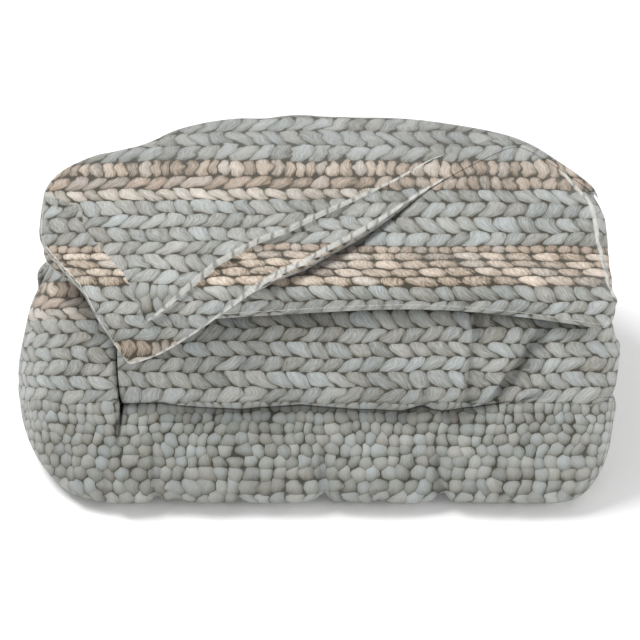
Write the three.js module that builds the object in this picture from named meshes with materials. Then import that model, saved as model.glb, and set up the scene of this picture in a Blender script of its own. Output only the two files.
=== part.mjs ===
// A filled duvet folded back and forth into a low stack. Its last fold ends in two plies, one set back
// on the other, turned at a slant so that a corner hangs over the front.
// Millimetres, +Z up. The round folds face the front, -Y, and the origin is at the middle of the base.
import * as THREE from 'three';

// Driving sizes
const airGap = 5; // air between neighbouring layers
const halfWidth = 310; // half the width of the widest layer
const foldFullness = 0.8; // below 1 a fold is rounder than an ellipse
const cornerDepth = 0.7; // how far a fold's end draws back, as a share of its corner size
const cornerPower = 3.2; // how quickly it does
const centreShift = new THREE.Vector3(7.5, 7.1, 0); // puts the origin at the middle of the base

// The layers of the stack, from the floor up: thickness, the x of the side edges, how far the left edge
// slants inwards for each step forwards, and the number of rows of points along the layer.
const layers = [
  { name: 'base', thick: 53, left: -312, slant: 0, right: 296, rows: 4 },
  { name: 'baseReturn', thick: 54, left: -314, slant: 0, right: 299, rows: 10 },
  { name: 'middle', thick: 48, left: -285, slant: 0.95, right: 297, rows: 5 },
  { name: 'middleReturn', thick: 48, left: -248, slant: 0.48, right: 293, rows: 5 },
  { name: 'upper', thick: 16, left: -246, slant: 0.35, right: 283, rows: 5 },
  { name: 'upperReturn', thick: 16, left: -284, slant: 0.7, right: 287, rows: 7 },
  { name: 'flap', thick: 25, left: -286, slant: 0.5, right: 279, rows: 6 },
];

// A side edge is a round nose of the given depth, with its seam at a share of the layer's height.
const noses = [
  { leftDepth: 66, leftSeam: 0.85, rightDepth: 46, rightSeam: 0.85 },
  { leftDepth: 66, leftSeam: 0.15, rightDepth: 14, rightSeam: 0.5 },
  { leftDepth: 8, leftSeam: 0.6, rightDepth: 14, rightSeam: 0.5 },
  { leftDepth: 8, leftSeam: 0.4, rightDepth: 44, rightSeam: 0.15 },
  { leftDepth: 14, leftSeam: 0.5, rightDepth: 13, rightSeam: 0.5 },
  { leftDepth: 14, leftSeam: 0.5, rightDepth: 15, rightSeam: 0.3 },
  { leftDepth: 15, leftSeam: 0.5, rightDepth: 13, rightSeam: 0.4 },
];

// The left edges slant between these y, the lower four layers' further back.
const lowerSlant = { from: 98, to: 18 };
const upperSlant = { from: -67, to: -1000 };
const slantSoftness = 24;

// The folds that join each layer to the next. Reach is the y of a fold's furthest point along its
// straight part, bulge its depth, and its ends draw back over the corner sizes.
const folds = [
  { side: 'front', reach: -200, bulge: 52, cornerLeft: 146, cornerRight: 88, rows: 10 },
  { side: 'back', reach: 192, bulge: 46, cornerLeft: 40, cornerRight: 120, rows: 6 },
  { side: 'front', reach: -184, bulge: 40, cornerLeft: 16, cornerRight: 60, rows: 8 },
  { side: 'back', reach: 190, bulge: 30, cornerLeft: 70, cornerRight: 170, rows: 5 },
  { side: 'front', reach: -181, bulge: 15, cornerLeft: 12, cornerRight: 24, rows: 6 },
  { side: 'back', reach: 186, bulge: 24, cornerLeft: 200, cornerRight: 235, rows: 7 },
];
const baseEdge = { y: 178, corner: 90, nose: 27, steps: [0, 5, 14, 27] }; // the free edge under the back

// The flap lies on the stack from its back fold to a slanted edge. Its left corner hangs over the front.
const flap = {
  bendY: -166, // where it starts to bend down
  bendAngle: THREE.MathUtils.degToRad(86),
  edgeCrossX: -24, // where its slanted edge crosses the bend
  slopeOnTop: 1.1,
  slopeInFront: 0.64,
  leastLength: 14,
};

// Towards the right back the layer under the flap fills out as the flap thins, so that its slanted edge runs
// out there. The right edges of both draw in towards the back.
const rightFill = { rise: 18, closer: 2, fromX: 30, toX: 140, fromY: -130, toY: -20 };
const rightRound = { retreat: 12, fromY: -130, toY: 40 };

// The flap's upper ply ends short of the lower one, with a groove along its foot. Its edge lies this far
// behind the slanted edge, more in the middle, runs out towards the right, and lies this far from the left
// edge, between the given y.
const upperPly = {
  thick: 12,
  back: 38,
  more: { by: 14, fromX: -95, toX: -25 },
  less: { by: 10, fromX: 60, toX: 150 },
  fade: { fromX: 70, toX: 150 },
  groove: 4,
  grooveWidth: 6,
  softness: 5,
  inset: 44,
  insetSoftness: 12,
  insetFrom: 25,
  insetTo: -45,
};
// Distances of the flap's last rows from its slanted edge, as shares of the distance to the ply's edge.
const edgeRows = [0, 0.05, 0.12, 0.2, 0.36, 0.6, 0.8, 0.9, 0.96, 1.02, 1.08, 1.2, 1.55, 2.1];
const edgeNose = 0.2;

// How far the stack settles towards its ends and its back, as shares of its height.
const settle = {
  left: { end: 0.13, backCorner: 0.11 },
  right: { end: 0.09, backCorner: 0.03 },
  endPower: 2.6,
  back: 0.085,
  backFrom: 0,
  backTo: 200,
};

// The upper folds arch up a little along the front.
const arch = { rise: 12, x: 100, width: 150, frontY: -190, backY: -20, fromZ: 120, toZ: 220 };

// The unpressed left end of the base swells up beside the stack.
const swell = { height: 84, frontClear: 2, frontWidth: 9, clear: 10, width: 40, backFade: 60, endDepth: 66 };

// The lower and middle front folds close up along a line of even height on a plane that leans back, deeper
// in the middle, and right out to the front towards the right end.
const closing = {
  lift: { middle: 16, right: 25 },
  lean: THREE.MathUtils.degToRad(32),
  deepY: -150,
  frontY: -194,
  corner: 75,
  slit: 2,
  turnEnd: { 0: 0.42, 2: 0.47 },
  share: { left: 0.4, middle: 0.3, right: 1 },
  leftX: { from: -190, to: -110 },
  rightX: { from: 130, to: 225 },
};

// Soft troughs across the front folds: from and to are an x and a share of the way up the fold.
const creases = [
  { fold: 0, fromX: -150, fromUp: 0.0, toX: -163, toUp: 0.9, depth: 5, width: 18 },
  { fold: 0, fromX: 4, fromUp: 0.0, toX: 0, toUp: 0.7, depth: 5, width: 18 },
  { fold: 0, fromX: 125, fromUp: 0.0, toX: 112, toUp: 0.8, depth: 5, width: 18 },
  { fold: 0, fromX: -262, fromUp: 0.74, toX: -205, toUp: 0.97, depth: 9, width: 20 },
  { fold: 2, fromX: 172, fromUp: 0.15, toX: 214, toUp: 0.9, depth: 9, width: 18 },
  { fold: 2, fromX: 146, fromUp: 0.15, toX: 150, toUp: 0.9, depth: 4, width: 14 },
];

// Columns of points across the layers: at these distances from the side edges, and even between them.
const leftSteps = [0, 4, 12, 24, 40, 58, 76, 92, 103];
const rightSteps = [0, 4, 12, 24, 42];
const innerColumns = 15;
const columns = leftSteps.length + innerColumns + rightSteps.length;

const { lerp, clamp, smoothstep } = THREE.MathUtils;

layers.forEach((layer, index) => {
  layer.nose = noses[index];
  layer.slantRange = index < 4 ? lowerSlant : upperSlant;
  layer.bottom = index ? layers[index - 1].top + airGap : 0;
  layer.top = layer.bottom + layer.thick;
});

// Height share of a round nose at a distance from its tip.
function noseShare(distance, depth) {
  const inward = clamp(1 - distance / depth, 0, 1);
  return Math.sqrt(1 - inward * inward);
}

// How far a rounded corner has drawn back at a distance from the side edge.
function cornerRetreat(distance, size) {
  const inward = clamp(1 - distance / size, 0, 1);
  return cornerDepth * size * inward ** cornerPower;
}

// The positive part of a value, with a soft start.
function softPositive(value, softness) {
  return (value + Math.hypot(value, softness)) / 2;
}

function columnOffset(column, width) {
  if (column < leftSteps.length) return leftSteps[column];
  if (column >= leftSteps.length + innerColumns) return width - rightSteps[columns - 1 - column];
  const share = (column - leftSteps.length + 1) / (innerColumns + 1);
  return lerp(leftSteps[leftSteps.length - 1], width - rightSteps[rightSteps.length - 1], share);
}

function leftEdge(layer, y) {
  const { from, to } = layer.slantRange;
  const slanted = softPositive(from - y, slantSoftness) - softPositive(to - y, slantSoftness);
  return layer.left + layer.slant * slanted;
}

function rightEdge(layer, y) {
  const { retreat, fromY, toY } = rightRound;
  return layer.right - (layer.bottom > layers[4].bottom ? retreat * smoothstep(y, fromY, toY) : 0);
}

// Where a column crosses a layer at y, with its distances from both side edges.
function across(layer, column, y) {
  const left = leftEdge(layer, y);
  const width = rightEdge(layer, y) - left;
  const offset = columnOffset(column, width);
  return { x: left + offset, fromLeft: offset, fromRight: width - offset };
}

// The nose of a layer's nearer side edge: its height share there and the level of its seam.
function sideNose(layer, place) {
  const { leftDepth, leftSeam, rightDepth, rightSeam } = layer.nose;
  const onLeft = place.fromLeft < place.fromRight;
  if (onLeft) return { share: noseShare(place.fromLeft, leftDepth), seam: leftSeam };
  return { share: noseShare(place.fromRight, rightDepth), seam: rightSeam };
}

// The heights of a layer's faces at a place.
function levelsAt(layer, x, y) {
  const { rise, closer, fromX, toX, fromY, toY } = rightFill;
  const filled = smoothstep(x, fromX, toX) * smoothstep(y, fromY, toY);
  const bottom = layer.bottom + (layer.name === 'flap' ? rise * filled : 0);
  const top = layer.top + (layer.name === 'upperReturn' ? (rise + closer) * filled : 0);
  return { bottom, top };
}

// The y of the middle line of a fold at a column.
function foldCentre(fold, column) {
  const { side, reach, bulge, cornerLeft, cornerRight } = folds[fold];
  const place = across(layers[fold], column, reach);
  const corners = cornerRetreat(place.fromLeft, cornerLeft) + cornerRetreat(place.fromRight, cornerRight);
  return side === 'front' ? reach + bulge + corners : reach - bulge - corners;
}

function baseBackY(column) {
  const place = across(layers[0], column, baseEdge.y);
  return baseEdge.y - cornerRetreat(Math.min(place.fromLeft, place.fromRight), baseEdge.corner);
}

// Both faces of the cloth at one place. Face a is outermost in the front folds, face b in the back folds.
function facesOf(lower, upper, seam, share, lowerIsA) {
  const middle = lower.clone().lerp(upper, seam);
  const low = middle.clone().lerp(lower, share);
  const high = middle.clone().lerp(upper, share);
  return lowerIsA ? { a: low, b: high } : { a: high, b: low };
}

// How far the left end of the base stands up beside the stack.
function swellHeight(x, y) {
  const back = smoothstep(y, -40, 10);
  const beside = leftEdge(layers[2], y) - lerp(swell.frontClear, swell.clear, back) - x;
  const width = lerp(swell.frontWidth, swell.width, back);
  return swell.height * smoothstep(beside, 0, width) * noseShare(x - layers[1].left, swell.endDepth);
}

// A row of points across a layer, a share of the way along its run or a distance from its back edge.
function layerRow(index, share, backDistance = Infinity) {
  const layer = layers[index];
  const forwards = index % 2 === 0;
  return (column) => {
    const backY = index ? foldCentre(forwards ? index - 1 : index, column) : baseBackY(column);
    const frontY = foldCentre(forwards ? index : index - 1, column);
    const forward = forwards ? share : 1 - share;
    const y = backDistance < Infinity ? backY - backDistance : lerp(backY, frontY, forward);
    const place = across(layer, column, y);
    const nose = sideNose(layer, place);
    const edge = noseShare(backDistance, baseEdge.nose);
    const levels = levelsAt(layer, place.x, y);
    const lower = new THREE.Vector3(place.x, y, levels.bottom);
    const upper = new THREE.Vector3(place.x, y, levels.top);
    const faces = facesOf(lower, upper, nose.seam, nose.share * edge, forwards);
    if (index === 1) faces.a.z += swellHeight(place.x, y) * smoothstep(backY - y, 0, swell.backFade);
    return faces;
  };
}

// Where the lower and middle front folds meet at x.
function closingLip(x) {
  const { lift, lean, deepY, frontY, corner, share, leftX, rightX } = closing;
  const right = smoothstep(x, rightX.from, rightX.to);
  const inLeft = lerp(share.left, share.middle, smoothstep(x, leftX.from, leftX.to));
  const front = frontY + cornerRetreat(layers[2].right - x, corner);
  const y = lerp(deepY, front, lerp(inLeft, share.right, right));
  const end = x < 0 ? settle.left.end : settle.right.end;
  const drop = end * Math.min(1, Math.abs(x) / halfWidth) ** settle.endPower;
  const level = lerp(lift.middle, lift.right, right);
  return { y, z: (level - (y + centreShift.y) * Math.sin(lean)) / Math.cos(lean) / (1 - drop) };
}

// How far a point of the lower fold's upper half, or the middle one's lower half, moves so that they meet.
function closingShift(outer, index, column, up) {
  const nearGap = index === 0 ? up : 1 - up;
  const stackLeft = leftEdge(layers[2], closing.frontY);
  const clear = smoothstep(outer.x, stackLeft - 1, stackLeft + 4);
  if (nearGap < 0.5 || clear === 0) return new THREE.Vector3();
  const lip = closingLip(outer.x);
  const lipZ = lip.z + (index === 0 ? -closing.slit : closing.slit);
  const turn = (Math.min(1, (nearGap - 0.5) / closing.turnEnd[index]) * Math.PI) / 2;
  const middleZ = (layers[index].bottom + layers[index + 1].top) / 2;
  const centre = foldCentre(index, column);
  const turnedIn = index === 0 ? smoothstep(nearGap, 0.93, 0.97) : 0;
  const forward = lerp(centre - folds[index].bulge, lip.y, 1 - Math.cos(turn));
  const y = lerp(forward, centre, turnedIn / 2);
  const z = lerp(lerp(middleZ, lipZ, Math.sin(turn)), layers[1].top, turnedIn);
  return new THREE.Vector3(outer.x, y, z).sub(outer).multiplyScalar(clear);
}

// A row of points round a fold, at an angle from its lower layer.
function foldRow(index, angle) {
  const fold = folds[index];
  const lowerLayer = layers[index];
  const upperLayer = layers[index + 1];
  const outward = fold.side === 'front' ? -1 : 1;
  const up = (1 - Math.cos(angle)) / 2;
  const aside = smoothstep(up, 0.55, 1);
  return (column) => {
    const y = foldCentre(index, column);
    const below = across(lowerLayer, column, y);
    const above = across(upperLayer, column, y);
    const x = lerp(below.x, above.x, aside);
    const noseBelow = sideNose(lowerLayer, below);
    const noseAbove = sideNose(upperLayer, above);
    const outerY = y + outward * fold.bulge * Math.sin(angle) ** foldFullness;
    const innerY = y + (outward * airGap * Math.sin(angle)) / 2;
    const levels = levelsAt(upperLayer, x, y);
    const outer = new THREE.Vector3(x, outerY, lerp(lowerLayer.bottom, levels.top, up));
    const inner = new THREE.Vector3(x, innerY, lerp(levelsAt(lowerLayer, x, y).top, levels.bottom, up));
    if (index === 0) outer.z += swellHeight(x, y) * smoothstep(up, 0.3, 1);
    const seam = lerp(noseBelow.seam, 1 - noseAbove.seam, up);
    const share = lerp(noseBelow.share, noseAbove.share, up);
    const faces = facesOf(outer, inner, seam, share, fold.side === 'front');
    if (index === 0 || index === 2) faces.a.addScaledVector(closingShift(outer, index, column, up), share);
    return { ...faces, up };
  };
}

// The flap's distance past its bend at its slanted edge: negative on the top of the stack.
function flapEdge(x) {
  const past = flap.edgeCrossX - x;
  return past * (past > 0 ? flap.slopeInFront : flap.slopeOnTop);
}

// A point of the flap at a distance past its bend and a height over the fold that it hangs from.
function flapPoint(x, past, height) {
  const axisZ = (layers[4].bottom + layers[5].top) / 2;
  const middle = (layers[6].bottom + layers[6].top) / 2 - axisZ;
  const radius = height - axisZ;
  const angle = clamp(past / middle, 0, flap.bendAngle);
  const straight = past < 0 ? past : Math.max(0, past - middle * flap.bendAngle);
  const y = flap.bendY - radius * Math.sin(angle) - straight * Math.cos(angle);
  const z = axisZ + radius * Math.cos(angle) - straight * Math.sin(angle);
  return new THREE.Vector3(x, past < 0 ? flap.bendY - past : y, past < 0 ? height : z);
}

// A row of points across the flap: a share of the way from its back fold to the edge rows, or one of them.
function flapRow(along, edgeRow) {
  const layer = layers[6];
  return (column) => {
    const start = flap.bendY - foldCentre(5, column);
    let end = start + flap.leastLength;
    let edgeX = 0;
    for (let pass = 0; pass < 8; pass += 1) {
      edgeX = across(layer, column, flap.bendY - end).x;
      end = start + softPositive(flapEdge(edgeX) - start - flap.leastLength, 16) + flap.leastLength;
    }
    const { back, more, less } = upperPly;
    const added = more.by * smoothstep(edgeX, more.fromX, more.toX);
    const taken = less.by * smoothstep(edgeX, less.fromX, less.toX);
    const plyBack = Math.min(back + added - taken, (end - start) / 2.4);
    const lastRow = edgeRows[edgeRows.length - 1];
    const share = lerp((end - start) / plyBack, lastRow, along);
    const fromEdge = plyBack * (edgeRow === undefined ? share : edgeRow);
    const past = end - fromEdge;
    const place = across(layer, column, flap.bendY - past);
    const nose = sideNose(layer, place);
    const edge = noseShare(fromEdge / plyBack, edgeNose);
    const levels = levelsAt(layer, place.x, flap.bendY - past);
    const lower = flapPoint(place.x, past, levels.bottom);
    const upper = flapPoint(place.x, past, levels.top);
    const faces = facesOf(lower, upper, nose.seam, nose.share * edge, true);
    return { ...faces, behindPly: fromEdge - plyBack, fromLeft: place.fromLeft, y: flap.bendY - past };
  };
}

// All rows, in order along the cloth, from the free edge under the back to the flap's slanted edge.
function clothRows() {
  const rows = baseEdge.steps.map((step) => ({ layer: 0, at: layerRow(0, 0, step) }));
  folds.forEach((fold, index) => {
    for (let step = index ? 0 : 1; step <= layers[index].rows; step += 1) {
      rows.push({ layer: index, at: layerRow(index, step / layers[index].rows) });
    }
    for (let step = 1; step <= fold.rows; step += 1) {
      rows.push({ fold: index, at: foldRow(index, (Math.PI * step) / (fold.rows + 1)) });
    }
  });
  for (let step = 0; step < layers[6].rows; step += 1) {
    rows.push({ layer: 6, at: flapRow(step / layers[6].rows) });
  }
  [...edgeRows].reverse().forEach((edgeRow) => rows.push({ layer: 6, at: flapRow(1, edgeRow) }));
  return rows;
}

// Presses the stack down towards its side ends, back and back corners, and arches its upper front.
function settled(point) {
  const end = Math.min(1, Math.abs(point.x) / halfWidth);
  const back = smoothstep(point.y, settle.backFrom, settle.backTo);
  const side = point.x < 0 ? settle.left : settle.right;
  const drop = side.end * end ** settle.endPower + (settle.back + side.backCorner * end * end) * back;
  const forward = 1 - smoothstep(point.y, arch.frontY, arch.backY);
  const raised = arch.rise * forward * smoothstep(point.z, arch.fromZ, arch.toZ);
  const rise = raised * Math.exp(-(((point.x - arch.x) / arch.width) ** 2));
  return new THREE.Vector3(point.x, point.y, point.z * (1 - drop) + rise);
}

// How far a crease presses in a point of a front fold.
function creaseDepth(crease, x, up) {
  const along = clamp((up - crease.fromUp) / (crease.toUp - crease.fromUp), 0, 1);
  const beyond = up - lerp(crease.fromUp, crease.toUp, along);
  const aside = x - lerp(crease.fromX, crease.toX, along);
  const foldHeight = layers[crease.fold + 1].top - layers[crease.fold].bottom;
  const distance = Math.hypot(aside, beyond * foldHeight);
  return crease.depth * Math.exp(-((distance / crease.width) ** 2));
}

function pressCreases({ a, b, up }, fold) {
  const inwards = b.clone().sub(a);
  const wanted = creases.filter((crease) => crease.fold === fold);
  const depth = wanted.reduce((sum, crease) => sum + creaseDepth(crease, a.x, up), 0);
  a.addScaledVector(inwards.normalize(), Math.min(depth, a.distanceTo(b) / 3));
}

// Takes away the upper ply in front of its edge and beside its left edge.
function cutPly({ a, b, behindPly, fromLeft, y }) {
  const { thick, fade, groove, grooveWidth, softness, inset, insetSoftness, insetFrom, insetTo } = upperPly;
  const forward = smoothstep(-y, -insetFrom, -insetTo);
  const behind = smoothstep(behindPly, -softness, softness);
  const inside = lerp(1, smoothstep(fromLeft - inset * forward, -insetSoftness, insetSoftness), forward);
  const dip = groove * Math.exp(-(((behindPly + softness) / grooveWidth) ** 2));
  const cut = (thick * (1 - behind * inside) + dip * inside) * (1 - smoothstep(a.x, fade.fromX, fade.toX));
  b.lerp(a, Math.min(cut / layers[6].thick, 0.75));
}

// One closed surface: both faces of the cloth, sharing their points along all four edges.
function clothGeometry() {
  const positions = [];
  const faceA = [];
  const faceB = [];
  const rows = clothRows();
  const addPoint = (point) => {
    positions.push(...settled(point).add(centreShift).toArray());
    return positions.length / 3 - 1;
  };
  rows.forEach((row, r) => {
    faceA.push([]);
    faceB.push([]);
    for (let column = 0; column < columns; column += 1) {
      const faces = row.at(column);
      if (row.fold !== undefined && folds[row.fold].side === 'front') pressCreases(faces, row.fold);
      if (row.layer === 6) cutPly(faces);
      const onEdge = r === 0 || r === rows.length - 1 || column === 0 || column === columns - 1;
      faceA[r].push(addPoint(faces.a));
      faceB[r].push(onEdge ? faceA[r][column] : addPoint(faces.b));
    }
  });
  const triangles = [];
  const addCell = (face, r, column, outwards) => {
    const corners = [face[r][column], face[r][column + 1], face[r + 1][column + 1], face[r + 1][column]];
    const [p, q, s, t] = outwards ? corners : corners.reverse();
    const splitAtFirst = (r < rows.length / 2) === (column < columns / 2);
    if (splitAtFirst === outwards) triangles.push(p, q, s, p, s, t);
    else triangles.push(p, q, t, q, s, t);
  };
  for (let r = 0; r + 1 < rows.length; r += 1) {
    for (let column = 0; column + 1 < columns; column += 1) {
      addCell(faceA, r, column, true);
      addCell(faceB, r, column, false);
    }
  }
  const geometry = new THREE.BufferGeometry();
  geometry.setAttribute('position', new THREE.Float32BufferAttribute(positions, 3));
  geometry.setIndex(triangles);
  geometry.computeVertexNormals();
  return geometry;
}

const printedCotton = new THREE.MeshStandardMaterial({ color: 0xa7aba3, roughness: 0.9, metalness: 0 });
const duvet = new THREE.Mesh(clothGeometry(), printedCotton);
duvet.name = 'duvet';

const part = new THREE.Group();
part.add(duvet);

export default part;
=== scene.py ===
from functools import partial
from math import cos, pi, radians, sin

import bpy
import numpy as np
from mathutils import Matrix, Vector


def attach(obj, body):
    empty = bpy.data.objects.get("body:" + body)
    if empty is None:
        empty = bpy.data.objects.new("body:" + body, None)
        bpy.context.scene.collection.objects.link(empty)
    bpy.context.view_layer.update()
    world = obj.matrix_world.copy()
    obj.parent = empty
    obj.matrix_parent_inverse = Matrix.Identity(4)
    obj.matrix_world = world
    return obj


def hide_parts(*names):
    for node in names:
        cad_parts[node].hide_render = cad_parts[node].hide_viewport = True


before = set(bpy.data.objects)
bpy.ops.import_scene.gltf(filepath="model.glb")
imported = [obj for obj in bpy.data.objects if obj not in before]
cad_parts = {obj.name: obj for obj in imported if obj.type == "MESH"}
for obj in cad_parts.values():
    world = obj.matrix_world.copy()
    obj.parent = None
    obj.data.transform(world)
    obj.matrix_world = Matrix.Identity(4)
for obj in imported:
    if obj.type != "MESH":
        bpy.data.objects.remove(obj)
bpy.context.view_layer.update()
print("frame loaded")

# The duvet's folded shape, in mm, +Z up, rounded folds to the front
duvet = {
    "airGap": 5.0,  # between neighbouring layers
    "halfWidth": 310.0,
    "foldFullness": 0.8,
    "foldTurn": (0.55, 1.0),  # shares up between which a fold's side edges pass to the layer above
    "cornerDepth": 0.7,
    "cornerPower": 3.2,
    "centreShift": (7.5, 7.1, 0.0),
    # from the floor up, with the rows of points, and the depth and seam of the round side edges
    "layerColumns": "name thick left slant right rows leftDepth leftSeam rightDepth rightSeam",
    "layers": [
        ("base", 53, -312, 0, 296, 4, 66, 0.85, 46, 0.85),
        ("baseReturn", 54, -314, 0, 299, 38, 66, 0.15, 14, 0.5),
        ("middle", 48, -285, 1.07, 297, 6, 1.5, 0.6, 14, 0.5),
        ("middleReturn", 48, -248, 0.605, 293, 6, 1.5, 0.4, 44, 0.15),
        ("upper", 16, -246, 0.35, 285, 6, 14, 0.5, 13, 0.5),
        ("upperReturn", 16, -284, 0.7, 288, 60, 14, 0.5, 15, 0.3),
        ("flap", 25, -286, 0.5, 280, 46, 15, 0.5, 13, 0.4),
    ],
    # y at which the slant of the left edges starts and ends, on the lower four layers and on the rest
    "slants": [(98, 18)] * 4 + [(-67, -1000)] * 3, "slantSoftness": 24,
    "foldColumns": "side reach bulge cornerLeft cornerRight rows",
    "folds": [
        ("front", -200, 52, 146, 88, 42),
        ("back", 192, 46, 40, 120, 13),
        ("front", -184, 40, 16, 60, 34),
        ("back", 190, 30, 70, 170, 10),
        ("front", -181, 15, 12, 24, 14),
        ("back", 186, 24, 200, 235, 16),
    ],
    "baseEdge": {"y": 178, "corner": 90, "nose": 27, "steps": [0, 3, 8, 15, 27]},
    "bend": {"y": -166, "angle": 86, "edgeCrossX": -17, "slopeOnTop": 1.12, "slopeInFront": 0.64,
             "leastLength": 14, "lengthSoftness": 16, "edgePasses": 8,
             "sag": 6, "sagX": -128, "sagWidth": 50, "tipRound": 10, "tipX": (150, 205)},
    "fill": {"rise": 24.1, "closer": 4.6, "x": (-40, 135), "y": (-130, -20)},
    # the right edges of the upper two layers draw in towards the back, where they meet
    "drawIn": {"retreat": 12, "y": (-80, 130), "corner": 15, "cornerY": (-30, 50),
               "meetX": 285, "meetY": (-32, -3)},
    "seams": {"upperReturn": 0.92, "flap": 0.06, "y": (-60, 20)},  # of the right edges at the back
    # the flap's upper ply: how far its edge lies back, the groove at its foot, and its left edge
    "ply": {"thick": 9, "back": 38, "more": 14, "moreX": (-95, -25), "less": 10, "lessX": (60, 150),
            "lengths": 1.8, "groove": 3, "grooveWidth": 6, "softness": 2.6, "deepest": 0.75,
            "inset": 44, "insetSoftness": 4, "insetY": (25, -45), "insetStart": (0.02, 0.15),
            "fadeX": (70, 150)},
    # rows of points from the flap's edge, as shares of the way back to its upper ply's edge
    "edgeRows": [0, 0.02, 0.05, 0.08, 0.12, 0.16, 0.2, 0.25, 0.3, 0.36, 0.42, 0.48, 0.54, 0.6, 0.66, 0.72,
                 0.77, 0.81, 0.85, 0.88, 0.91, 0.935, 0.96, 0.98, 1.0, 1.02, 1.05, 1.08, 1.12, 1.16, 1.2,
                 1.26, 1.32, 1.38, 1.44, 1.5],
    "edgeNose": 0.42,
    "edgeSeam": 0.12,
    "settle": {"leftEnd": 0.13, "leftBack": 0.11, "rightEnd": 0.09, "rightBack": 0.03, "endPower": 2.6,
               "back": 0.085, "backY": (0, 200)},
    "arch": {"rise": 12, "x": 100, "width": 150, "y": (-190, -20), "z": (120, 220)},
    "shoulders": [{"rise": 12, "x": 225, "width": 80, "y": 105, "depth": 90},
                  {"rise": 9, "x": -248, "width": 60, "y": 75, "depth": 75}],
    "shoulderZ": (218, 262),
    "swell": {"height": 84, "clear": 0.4, "width": 1.6, "lowWidth": 45, "narrowUp": (0.74, 0.95),
              "riseUp": (0.3, 1.0), "backFade": 60, "endDepth": 66,
              "backClear": 9, "backWidth": 34, "backY": (-100, -20)},
    # the lower and middle folds close up in front along a line of these lifts (x: lift),
    # at the right into one round front
    "closing": {"lifts": {-200: 19, -160: 20, -130: 16, -80: 14, -20: 18, 30: 14, 80: 12, 100: 17, 120: 12,
                          165: 18, 205: 24, 300: 25},
                "lean": 32, "deepY": -150, "frontY": -194, "corner": 75, "slit": 0.6, "rightSlit": 0.06,
                "turnEnd": 0.48, "turnedIn": (0.983, 1.0), "startX": (-1, 4),
                "left": 0.4, "middle": 0.3, "right": 1.0, "leftX": (-190, -110), "rightX": (130, 225)},
    # creases of the cover on the lower and the middle fold:
    # x and share up of one end, the same of the other, depth, width, height of the ridge beside
    "creases": {
        0: [(-150, 0, -163, 0.9, 5, 18, 0),
            (4, 0, 0, 0.7, 5, 18, 0),
            (125, 0, 112, 0.8, 5, 18, 0),
            (-262, 0.74, -212, 0.9, 4, 18, 0),
            (-259, 0.3, -243, 0.66, 5, 5, 3),
            (-216, 0.2, -210, 0.75, 5, 6, 3),
            (-166, 0, -168, 0.68, 6, 5, 3),
            (3, 0, 0, 0.62, 6, 5, 3),
            (123, 0, 116, 0.6, 7, 6, 3),
            (178, 0.25, 172, 0.78, 4, 5, 2),
            (165, 0.74, 196, 0.66, 4, 6, 2),
            (60, 0, 52, 0.3, 4, 6, 0),
            (-80, 0, -86, 0.3, 4, 6, 0),
            (-285, 0.45, -262, 0.52, 4, 6, 0),
            (-280, 0.6, -258, 0.56, 4, 6, 0)],
        2: [(172, 0.12, 208, 0.85, 15, 9, 8),
            (146, 0.15, 150, 0.9, 4, 14, 0),
            (142, 0.1, 149, 0.95, 6, 5, 4),
            (98, 0, 101, 0.35, 5, 6, 2),
            (-60, 0, -55, 0.25, 3, 6, 0),
            (-130, 0, -122, 0.3, 3, 6, 0)],
    },
    "ridgeAside": 1.7,  # in widths of the crease
    # the shares up between which the creases of a fold fade in from its lip, right of an x
    "creaseFade": {0: (0.82, 0.66), 2: (0.02, 0.2), "fromX": -195},
    "pressLimit": 3,  # a press goes no deeper than the thickness over this
    # pale lines: the right one on the layer under the flap, a sewn edge partly painted as highlight, and the
    # one along the upper fold's lip, a painted highlight
    "hemHighlightPlaces": {"none": 99.0, "rightIn": 4, "rightMore": 18, "rightY": (-150, 60), "rightScale": 0.9,
             "lipUp": 0.28, "lipScale": 1.8, "plyFrom": -0.3, "fade": 60, "fadeX": (120, 175)},
    "leftSteps": [0, 1.5, 4, 7.5, *range(12, 108, 5), 112.6, 114.4],
    "rightSteps": [0, 1.5, 4, 7.5, 12, 16.5, 21, 25.5, 30, 34.5, 38.5, 42],
    "innerColumns": 107,
}

layers = [dict(zip(duvet["layerColumns"].split(), row)) for row in duvet["layers"]]
folds = [dict(zip(duvet["foldColumns"].split(), row)) for row in duvet["folds"]]
parts = ("fill", "drawIn", "seams", "bend", "ply", "settle", "arch", "swell", "closing", "hemHighlightPlaces")
fill, drawIn, seams, bend, ply, settle, arch, swell, closing, hemHighlightPlaces = (duvet[part] for part in parts)
level = 0.0
for index, layer in enumerate(layers):
    layer["slantRange"] = duvet["slants"][index]
    layer["bottom"] = level
    layer["top"] = level + layer["thick"]
    level = layer["top"] + duvet["airGap"]

# Each column's distance from the left edge is start + share * width
innerShare = np.arange(1, duvet["innerColumns"] + 1) / (duvet["innerColumns"] + 1)
leftSteps = np.array(duvet["leftSteps"], float)
rightSteps = np.array(duvet["rightSteps"][::-1], float)
columnStart = np.concatenate([
    leftSteps, leftSteps[-1] * (1 - innerShare) - rightSteps[0] * innerShare, -rightSteps])
columnShare = np.concatenate([np.zeros(len(leftSteps)), innerShare, np.ones(len(rightSteps))])
columnCount = len(columnStart)

smallest = 1e-6  # mm, keeps divisions safe

# Both faces share their points along these borders of the grid
borders = (np.s_[0, :], np.s_[-1, :], np.s_[:, 0], np.s_[:, -1])
cellCorners = ((0, 0), (0, 1), (1, 1), (1, 0))


def mix(first, second, share):
    return first + (second - first) * share


def ease(value, low, high):
    share = np.clip((value - low) / (high - low), 0, 1)
    return share * share * (3 - 2 * share)


# A grid's values at the corners of each of its cells
def cells(grid, corners):
    down, over = grid.shape[0] - 1, grid.shape[1] - 1
    return np.stack([grid[i:i + down, j:j + over] for i, j in corners], axis=-1)


def hump(value, centre, width):
    return np.exp(-(((value - centre) / width) ** 2))


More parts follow.
